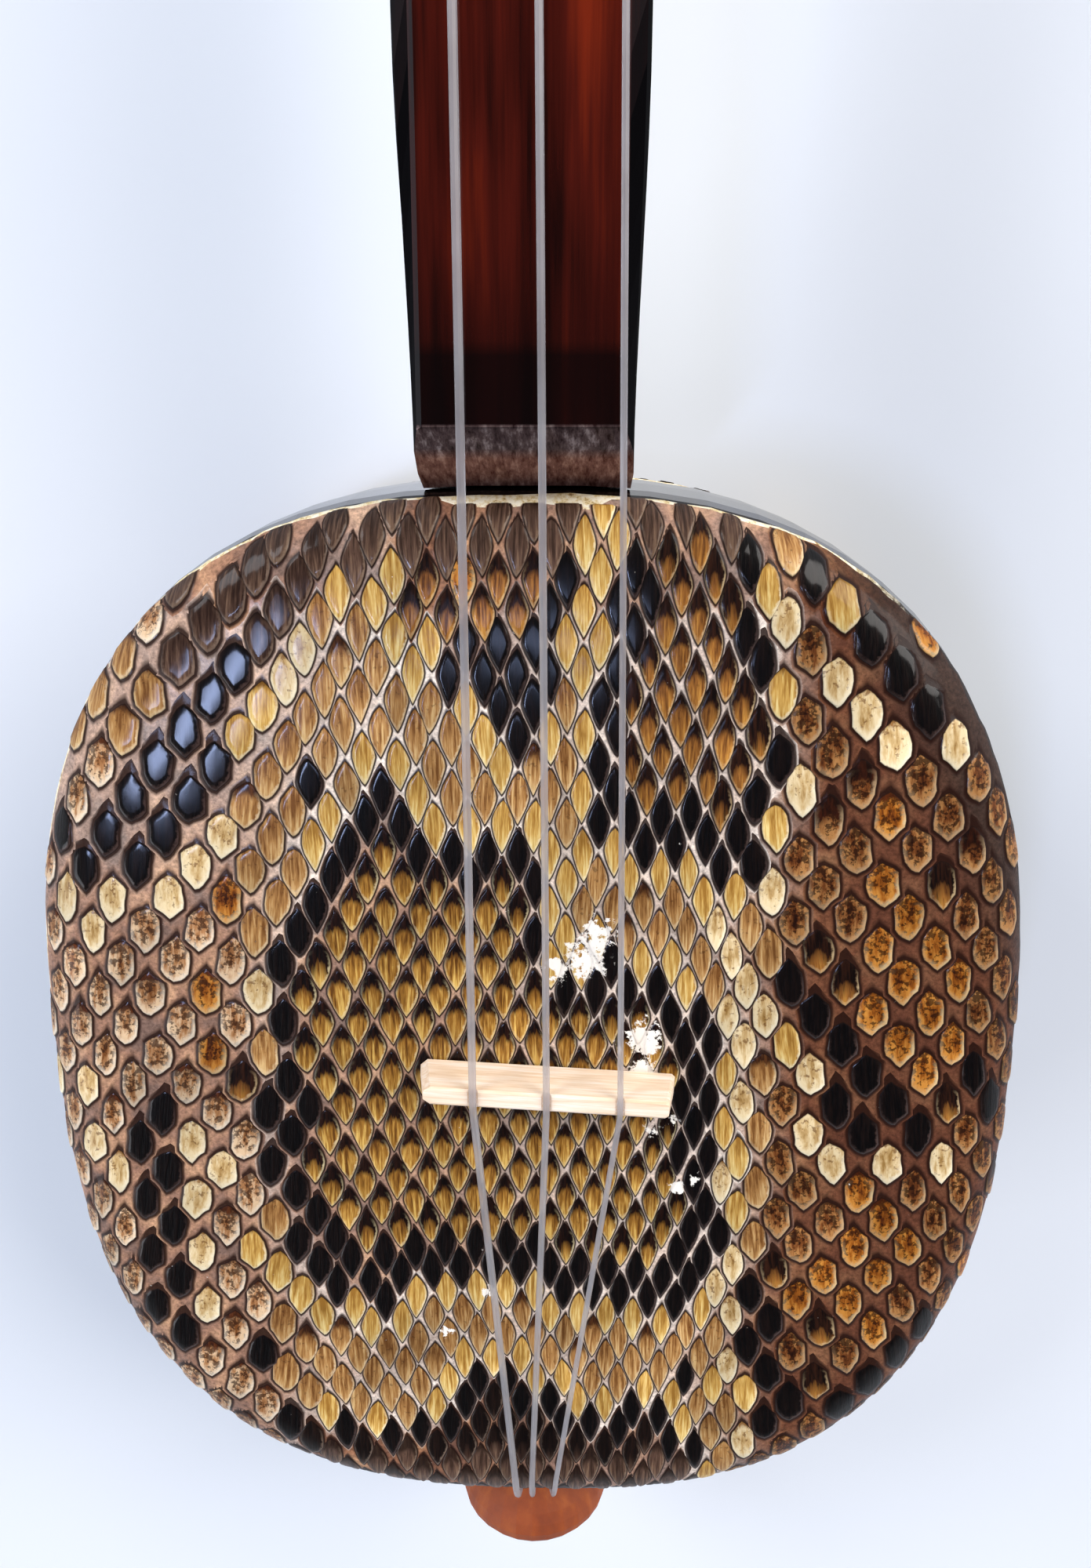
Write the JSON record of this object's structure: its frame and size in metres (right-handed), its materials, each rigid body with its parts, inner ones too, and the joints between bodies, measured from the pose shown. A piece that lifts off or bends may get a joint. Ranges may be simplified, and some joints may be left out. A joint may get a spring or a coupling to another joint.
{
  "type": "sanshin lute",
  "caption": "Long-necked plucked lute with a skin-covered rounded-square drum, bent-back peg head, turning pegs, bridge, nut, strings and tail knob.",
  "frame": {"origin": "middle of the drum's flat back, on the surface that it lies on", "axes": "+Y up the neck to the head, +X to the right as the front is seen with the head up, +Z out of the front skin"},
  "size_m": [0.1722, 0.7948, 0.0848],
  "materials": {
    "black_lacquer": "black lacquered wood, glossy",
    "snakeskin": "varnished python skin, olive gold and dark brown scales",
    "neck_lacquer": "dark red-brown lacquered hardwood, glossy",
    "bone": "bone, polished",
    "pale_maple": "pale fine-grained bare wood",
    "turned_wood": "orange-brown turned wood, satin",
    "peg_wood": "dark hardwood, satin",
    "nylon": "clear white nylon string"
  },
  "bodies": {
    "root": {"hoop_neck_wall": "black_lacquer", "hoop_tail_wall": "black_lacquer", "hoop_left_wall": "black_lacquer", "hoop_right_wall": "black_lacquer", "skin_front": "snakeskin", "skin_back": "snakeskin", "neck": "neck_lacquer", "nut": "bone", "bridge": "pale_maple", "tail_knob": "turned_wood", "string_1": "nylon", "string_2": "nylon", "string_3": "nylon"},
    "peg_one": {"peg_1": "peg_wood", "peg_winding_1": "nylon"},
    "peg_two": {"peg_2": "peg_wood", "peg_winding_2": "nylon"},
    "peg_three": {"peg_3": "peg_wood", "peg_winding_3": "nylon"}
  },
  "joints": [
    {"name": "peg_one_turn", "type": "hinge", "parent": "root", "child": "peg_one", "pos_m": [0, 0.59369, 0.06815], "axis": [1, 0, 0], "continuous": true},
    {"name": "peg_two_turn", "type": "hinge", "parent": "root", "child": "peg_two", "pos_m": [0, 0.61338, 0.06389], "axis": [1, 0, 0], "continuous": true},
    {"name": "peg_three_turn", "type": "hinge", "parent": "root", "child": "peg_three", "pos_m": [0, 0.6335, 0.05951], "axis": [1, 0, 0], "continuous": true}
  ]
}
